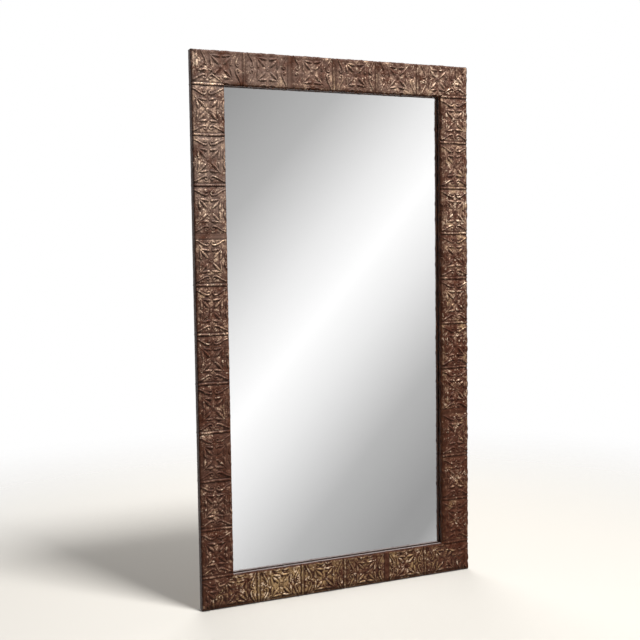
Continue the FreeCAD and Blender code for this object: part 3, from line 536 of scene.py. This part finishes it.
def makeWood(name):  # pale early wood with darker late-wood lines along the length, and a faint nap
    look = woodLook[name]
    material, tree, surface = newMaterial(name, Roughness=woodGrain["roughness"])
    place = addNode(tree, "ShaderNodeTexCoord").outputs["Object"]
    stretch = [1.0, 1.0, 1.0]
    stretch[look["lengthways"]] = woodGrain["drawnOut"]
    drawn = addNode(tree, "ShaderNodeMapping", {"Vector": place, "Scale": stretch}).outputs["Vector"]
    lines = addNode(tree, "ShaderNodeTexNoise", {"Vector": drawn, "Scale": perMetre(look["lineMm"]),
                                                 "Detail": 6.0, "Roughness": 0.68,
                                                 "Distortion": 0.6}).outputs["Fac"]
    share = addNode(tree, "ShaderNodeMapRange", {"Value": lines, "From Min": 0.38, "From Max": 0.68},
                    interpolation_type="SMOOTHSTEP").outputs["Result"]
    stain = addNode(tree, "ShaderNodeTexNoise", {"Vector": place, "Scale": perMetre(woodGrain["stainMm"]),
                                                 "Detail": 4.0}).outputs["Fac"]
    stain = addNode(tree, "ShaderNodeMapRange", {"Value": stain, "From Min": 0.35, "From Max": 0.75,
                                                 "To Max": woodGrain["stainMost"]}).outputs["Result"]
    colour = addNode(tree, "ShaderNodeMix", {0: share, 6: linear(look["pale"]), 7: linear(look["late"])},
                     data_type="RGBA").outputs[2]
    colour = addNode(tree, "ShaderNodeMix", {0: stain, 6: colour, 7: linear(look["late"])},
                     data_type="RGBA").outputs[2]
    # the timber in front of the glass's back is painted black: painted shade in the rabbet
    if look["rabbetShaded"]:
        depth = addNode(tree, "ShaderNodeSeparateXYZ", {0: place}).outputs["Y"]
        bare = addNode(tree, "ShaderNodeMath", {0: depth, 1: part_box("mirror_glass")[1].y},
                       operation="GREATER_THAN").outputs[0]
        colour = addNode(tree, "ShaderNodeMix", {0: bare, 6: linear(woodGrain["rabbetShade"]), 7: colour},
                         data_type="RGBA").outputs[2]
    bump = addNode(tree, "ShaderNodeBump", {"Height": lines, "Strength": woodGrain["bumpStrength"],
                                            "Distance": woodGrain["bumpMm"] * mm})
    tree.links.new(colour, surface.inputs["Base Color"])
    tree.links.new(bump.outputs["Normal"], surface.inputs["Normal"])
    return material


for name, look in woodLook.items():
    timber = makeWood(name)
    for node in look["nodes"]:
        dress(node, timber)

# mottled finishes: a skin of two tones in small clouds, over a little unevenness. Real fibre, bloom and rust
# are finer than the clouds, which are drawn coarse enough to show
mottledLook = {
    "hardboard": {"pale": "#62432d", "dark": "#4b3121", "metallic": 0.0, "roughness": 0.5, "featureMm": 3.0,
                  "bumpMm": 0.12, "nodes": ("back_panel",)},  # pressed wood fibre, smooth face out
    "zinc_plated_steel": {"pale": "#a9aaa6", "dark": "#74756f", "metallic": 1.0, "roughness": 0.38,
                          "featureMm": 2.5, "bumpMm": 0.02,  # bright dip, gone dull in spangles
                          "nodes": ("left_hanger_strap", "right_hanger_strap", "left_hanger_ring",
                                    "right_hanger_ring")},
    "browned_steel": {"pale": "#6a5548", "dark": "#2c211b", "metallic": 1.0, "roughness": 0.5,
                      "featureMm": 1.5, "bumpMm": 0.08, "nodes": ()},  # tacks, blued and then rusted brown
    "wool_felt": {"pale": "#58585a", "dark": "#39393b", "metallic": 0.0, "roughness": 0.95, "featureMm": 1.2,
                  "bumpMm": 0.3, "nodes": ("cushion_sheet",)},  # matted grey fibre
    "rubber": {"pale": "#242424", "dark": "#141414", "metallic": 0.0, "roughness": 0.75, "featureMm": 2.0,
               "bumpMm": 0.06, "nodes": ("setting_blocks",)}}  # cut black sheet with a dry bloom
mottledGrain = {"driftSize": 45, "driftShare": 0.6, "roughSpread": 0.1, "bumpStrength": 0.5}


def makeMottled(name):
    look, grain = mottledLook[name], mottledGrain
    material, tree, surface = newMaterial(name, Metallic=look["metallic"])
    place = addNode(tree, "ShaderNodeTexCoord").outputs["Object"]
    cloud = addNode(tree, "ShaderNodeTexNoise", {"Vector": place, "Scale": perMetre(look["featureMm"]),
                                                 "Detail": 6.0, "Roughness": 0.66}).outputs["Fac"]
    drift = addNode(tree, "ShaderNodeTexNoise", {"Vector": place, "Detail": 3.0,
                                                 "Scale": perMetre(grain["driftSize"] * look["featureMm"])})
    both = addNode(tree, "ShaderNodeMath", {0: drift.outputs["Fac"], 1: grain["driftShare"], 2: cloud},
                   operation="MULTIPLY_ADD").outputs[0]
    share = addNode(tree, "ShaderNodeMapRange", {"Value": both, "From Min": 0.55, "From Max": 1.05})
    colour = addNode(tree, "ShaderNodeMix", {0: share.outputs["Result"], 6: linear(look["dark"]),
                                             7: linear(look["pale"])}, data_type="RGBA").outputs[2]
    low, high = look["roughness"] - grain["roughSpread"], look["roughness"] + grain["roughSpread"]
    rough = addNode(tree, "ShaderNodeMapRange", {"Value": cloud, "To Min": low, "To Max": high})
    bump = addNode(tree, "ShaderNodeBump", {"Height": cloud, "Strength": grain["bumpStrength"],
                                            "Distance": look["bumpMm"] * mm})
    tree.links.new(colour, surface.inputs["Base Color"])
    tree.links.new(rough.outputs["Result"], surface.inputs["Roughness"])
    tree.links.new(bump.outputs["Normal"], surface.inputs["Normal"])
    return material


mottled = {}
for name, look in mottledLook.items():
    mottled[name] = makeMottled(name)
    for node in look["nodes"]:
        dress(node, mottled[name])

# screws and tacks, in mm: turned wire with a head, and the cross recess that drives a screw
fastenerMake = {
    "back_panel_screws": {"piece": "countersunk_screws", "slot": "zinc_steel", "finish": "zinc_plated_steel",
                          "apart": 8.0, "headRadius": 3.6, "headHeight": 0.0, "rim": 0.0, "cone": 1.85,
                          "shank": 1.75, "length": 16.0, "recess": (2.1, 0.5, 1.2), "beaten": 0.0},
    "hanger_screws": {"piece": "pan_head_screws", "slot": "zinc_steel", "finish": "zinc_plated_steel",
                      "apart": 8.0, "headRadius": 3.5, "headHeight": 2.2, "rim": 1.1, "cone": 0.0,
                      "shank": 2.0, "length": 18.0, "recess": (2.1, 0.5, 1.4), "beaten": 0.0},
    "tin_tacks": {"piece": "cut_tacks", "slot": "tack_steel", "finish": "browned_steel",
                  "apart": 20.0, "headRadius": 2.6, "headHeight": 1.0, "rim": 0.2, "cone": 0.0,
                  "shank": 0.8, "length": 14.0, "recess": (1.0, 0.0, 0.0), "beaten": 0.12}}
headMake = {"rings": 16, "turns": 48, "innermost": 0.03, "recessTaper": 0.3, "recessSide": 0.18,
            "recessEnd": 0.3, "tiltTurn": 6, "sharpAngle": 40, "seed": 5}
frameMiddle = (0, 0, frameHigh / 2)


def fastenerPlaces(node, apart):  # the low and high corner of each fastener in a node
    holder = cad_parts[node]
    points = np.array([list(holder.matrix_world @ v.co) for v in holder.data.vertices]) / mm
    corners = []
    while len(points):
        near = np.hypot(points[:, 0] - points[0, 0], points[:, 2] - points[0, 2]) < apart
        corners.append((points[near].min(0), points[near].max(0)))
        points = points[~near]
    return corners


def headShape(make, angle):  # the radius of each ring of the head, and its height by angle
    wide, tall = make["headRadius"], make["headHeight"]
    armLong, armHalf, armDeep = make["recess"]
    radius = wide * np.linspace(headMake["innermost"], 1, headMake["rings"])[:, None]
    a, b = np.abs(radius * np.cos(angle)), np.abs(radius * np.sin(angle))
    arms = []
    for far, off in ((a, b), (b, a)):
        side = (armHalf * (1 - headMake["recessTaper"] * far / armLong) - off) / headMake["recessSide"]
        arms.append(np.clip(side, 0, 1) * np.clip((armLong - far) / headMake["recessEnd"], 0, 1))
    crown = make["rim"] + (tall - make["rim"]) * np.sqrt(np.clip(1 - (radius / wide) ** 2, 0, 1))
    return radius, crown - armDeep * np.maximum(*arms)


def makeFasteners(node):
    make = fastenerMake[node]
    wide, shank, turns = make["headRadius"], make["shank"], headMake["turns"]
    angle = np.linspace(0, 2 * math.pi, turns, endpoint=False)
    radius, crown = headShape(make, angle)
    stem = [(wide, 0.0), (shank, -make["cone"]), (shank, 2 * shank - make["length"])]
    random = np.random.default_rng(headMake["seed"])
    verts, faces = [], []
    for low, high in fastenerPlaces(node, make["apart"]):
        middle = (low + high) / 2
        axis = int(np.argmax(high - low))
        outward = np.eye(3)[axis] * (1 if middle[axis] > frameMiddle[axis] else -1)
        side = np.eye(3)[(axis + 1) % 3]
        up = np.cross(outward, side)
        seat = middle + outward * ((high - low)[axis] / 2 - make["headHeight"])
        turned = angle + random.uniform(0, math.pi / 2)
        tilt = make["beaten"] * random.uniform(-1, 1)
        tilt = tilt * np.cos(angle + random.uniform(0, headMake["tiltTurn"]))
        head = crown + tilt * radius / wide
        rings = list(zip(radius[:, 0], head)) + [(reach, np.full(turns, height)) for reach, height in stem]
        first = len(verts) + 1
        verts.append(seat + outward * head[0].mean())
        for reach, heights in rings:
            verts.extend(seat + side * reach * math.cos(t) + up * reach * math.sin(t) + outward * h
                         for t, h in zip(turned, heights))
        verts.append(seat - outward * make["length"])
        lastRing = first + (len(rings) - 1) * turns
        for j in range(turns):
            k = (j + 1) % turns
            faces.append((first - 1, first + j, first + k))
            for ring in range(first, lastRing, turns):
                faces.append((ring + j, ring + turns + j, ring + turns + k, ring + k))
            faces.append((lastRing + j, len(verts) - 1, lastRing + k))
    piece = addPiece(make["piece"], [tuple(v * mm) for v in verts], faces, mottled[make["finish"]])
    piece.data.set_sharp_from_angle(angle=math.radians(headMake["sharpAngle"]))
    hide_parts(node)


for node in fastenerMake:
    makeFasteners(node)
print("wood, back and fasteners made")

# mirror: float glass with seamed edges, clear to the eye, and silver on its back that gives the picture
plateLook = {"glass": "#fcfcfc", "silver": "#f5f5f5", "glassIor": 1.5, "seam": 0.7, "clearance": 0.1}


def makePlate():
    clear = newMaterial("clear_float_glass", Roughness=0.0, IOR=plateLook["glassIor"],
                        Transmission_Weight=1.0, Base_Color=linear(plateLook["glass"]))[0]
    silver = newMaterial("silvering", Metallic=1.0, Roughness=0.0, Base_Color=linear(plateLook["silver"]))[0]
    low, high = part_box("mirror_glass")
    high.y -= plateLook["clearance"] * mm  # clear of the cushion behind it
    seam = plateLook["seam"] * mm
    verts = []
    for y, inset in ((low.y, seam), (low.y + seam, 0), (high.y - seam, 0), (high.y, seam)):
        verts += [(low.x + inset, y, low.z + inset), (high.x - inset, y, low.z + inset),
                  (high.x - inset, y, high.z - inset), (low.x + inset, y, high.z - inset)]
    faces = [(0, 1, 2, 3), (15, 14, 13, 12)]  # front and back
    for ring in (0, 4, 8):
        faces += [(ring + i, ring + 4 + i, ring + 4 + (i + 1) % 4, ring + (i + 1) % 4) for i in range(4)]
    plate = addPiece("silvered_plate", verts, faces, clear, smooth=False)
    plate.data.materials.append(silver)
    plate.data.polygons[1].material_index = 1
    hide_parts("mirror_glass")


makePlate()
print("mirror plate made")


# stage, in metres: pale floor, white surroundings, and a graded card that glows for the mirror only, a
# painted reflection that lights nothing

def mirroredRay(tree):  # 1 for what is seen in the glass or in metal, with the node for other kinds of ray
    path = addNode(tree, "ShaderNodeLightPath")
    seen = addNode(tree, "ShaderNodeMath", {0: path.outputs["Is Glossy Ray"],
                                            1: path.outputs["Is Transmission Ray"]},
                   operation="MAXIMUM").outputs[0]
    return seen, path


floorLook = {"half": 9.0, "colour": "#bdb9b2", "roughness": 0.9, "fadeFrom": 0.9, "fadeTo": 3.2}
floorHalf = floorLook["half"]
floorMesh = bpy.data.meshes.new("floor")
floorMesh.from_pydata([(-floorHalf, -floorHalf, 0), (floorHalf, -floorHalf, 0), (floorHalf, floorHalf, 0),
                       (-floorHalf, floorHalf, 0)], [], [(0, 1, 2, 3)])
floor = bpy.data.objects.new("floor", floorMesh)
scene.collection.objects.link(floor)
floorMaterial, floorTree, floorSurface = newMaterial("pale_floor", Roughness=floorLook["roughness"],
                                                     Base_Color=linear(floorLook["colour"]))
floorPlace = addNode(floorTree, "ShaderNodeTexCoord").outputs["Object"]
floorFar = addNode(floorTree, "ShaderNodeVectorMath", {0: floorPlace}, operation="LENGTH").outputs["Value"]
fadeOut = addNode(floorTree, "ShaderNodeMapRange", {"Value": floorFar, "From Min": floorLook["fadeFrom"],
                                                    "From Max": floorLook["fadeTo"]},
                  interpolation_type="SMOOTHSTEP").outputs["Result"]
floorGone = addNode(floorTree, "ShaderNodeMath", {0: mirroredRay(floorTree)[0], 1: fadeOut},
                    operation="MAXIMUM").outputs[0]
floorClear = addNode(floorTree, "ShaderNodeBsdfTransparent").outputs[0]
floorMix = addNode(floorTree, "ShaderNodeMixShader", {0: floorGone, 1: floorSurface.outputs[0],
                                                      2: floorClear})
floorTree.links.new(floorMix.outputs[0], floorTree.nodes["Material Output"].inputs["Surface"])
floorMesh.materials.append(floorMaterial)

card = {"middle": (1.6, -3.6, 0.69), "tilt": 42.4, "half": 2.6,
        "stops": ((0.0, 1.14), (0.146, 0.93), (0.365, 0.53), (0.585, 0.36), (0.66, 0.36), (0.95, 1.0))}
cardHalf = card["half"]
cardMesh = bpy.data.meshes.new("graded_card")
cardMesh.from_pydata([(-cardHalf, 0, -cardHalf), (cardHalf, 0, -cardHalf), (cardHalf, 0, cardHalf),
                      (-cardHalf, 0, cardHalf)], [], [(0, 1, 2, 3)])
cardPiece = bpy.data.objects.new("graded_card", cardMesh)
cardTilt = Matrix.Rotation(math.radians(card["tilt"]), 4, "Y")
cardPiece.matrix_world = Matrix.Translation(card["middle"]) @ cardTilt
scene.collection.objects.link(cardPiece)
cardMaterial = bpy.data.materials.new("graded_card")
cardMaterial.use_nodes = True
cardTree = cardMaterial.node_tree
cardTree.nodes.clear()
cardPlace = addNode(cardTree, "ShaderNodeTexCoord").outputs["Object"]
cardAcross = addNode(cardTree, "ShaderNodeSeparateXYZ", {0: cardPlace}).outputs["X"]
cardFar = addNode(cardTree, "ShaderNodeMath", {0: cardAcross}, operation="ABSOLUTE").outputs[0]
cardShare = addNode(cardTree, "ShaderNodeMapRange", {"Value": cardFar, "From Max": cardHalf})
ramp = addNode(cardTree, "ShaderNodeValToRGB", {0: cardShare.outputs["Result"]})
elements = ramp.color_ramp.elements
elements[0].position = card["stops"][0][0]
elements[1].position = card["stops"][-1][0]
for at, grey in card["stops"][1:-1]:
    elements.new(at)
for element, (at, grey) in zip(elements, card["stops"]):
    element.color = (grey, grey, grey, 1.0)
cardGlow = addNode(cardTree, "ShaderNodeEmission", {"Color": ramp.outputs["Color"]}).outputs[0]
cardClear = addNode(cardTree, "ShaderNodeBsdfTransparent").outputs[0]  # glows in the mirror only: a painted reflection
cardMix = addNode(cardTree, "ShaderNodeMixShader", {0: mirroredRay(cardTree)[0], 1: cardClear, 2: cardGlow})
addNode(cardTree, "ShaderNodeOutputMaterial", {"Surface": cardMix.outputs[0]})
cardMesh.materials.append(cardMaterial)

surroundings = {"light": 0.12, "seen": 1.0, "colour": "#ffffff"}  # white to the eye, dim as a lamp
world = bpy.data.worlds.new("studio")
scene.world = world
world.use_nodes = True
worldTree = world.node_tree
worldTree.nodes.clear()
worldMirrored, worldPath = mirroredRay(worldTree)
worldShown = addNode(worldTree, "ShaderNodeMath", {0: worldMirrored, 1: worldPath.outputs["Is Camera Ray"]},
                     operation="MAXIMUM").outputs[0]
worldLevel = addNode(worldTree, "ShaderNodeMapRange", {"Value": worldShown, "To Min": surroundings["light"],
                                                       "To Max": surroundings["seen"]}).outputs["Result"]
sky = addNode(worldTree, "ShaderNodeBackground", {"Strength": worldLevel,
                                                  "Color": linear(surroundings["colour"])})
addNode(worldTree, "ShaderNodeOutputWorld", {"Surface": sky.outputs[0]})

lampAim = (0, 0, 0.87)
lamps = {
    "key": {"at": (1.0, -2.6, 5.8), "size": 1.4, "power": 640.0, "mirrored": True},
    "fill": {"at": (-2.6, -2.8, 1.6), "size": 2.4, "power": 12.0, "mirrored": False},
    "back": {"at": (0.8, 2.6, 2.6), "size": 2.0, "power": 80.0, "mirrored": True}}
for name, lamp in lamps.items():
    light = bpy.data.lights.new(name, "AREA")
    light.size = lamp["size"]
    light.energy = lamp["power"]
    holder = bpy.data.objects.new(name, light)
    holder.location = lamp["at"]
    holder.visible_glossy = lamp["mirrored"]
    holder.visible_transmission = lamp["mirrored"]
    aim = Vector(lampAim) - Vector(lamp["at"])
    holder.rotation_euler = aim.to_track_quat("-Z", "Y").to_euler()
    scene.collection.objects.link(holder)

camera = {"at": (-1.4245, -3.0395, 1.1325), "aim": (-0.0712, -0.0135, 0.8972), "roll": -0.755, "lens": 57.975,
          "sensor": 36.0}
cameraData = bpy.data.cameras.new("camera")
cameraData.lens = camera["lens"]
cameraData.sensor_width = camera["sensor"]
eye = bpy.data.objects.new("camera", cameraData)
forward = (Vector(camera["aim"]) - Vector(camera["at"])).normalized()
turn = forward.to_track_quat("-Z", "Y").to_matrix().to_4x4()
roll = Matrix.Rotation(math.radians(camera["roll"]), 4, "Z")
eye.matrix_world = Matrix.Translation(camera["at"]) @ turn @ roll
scene.collection.objects.link(eye)
scene.camera = eye
print("stage, lights and camera set")
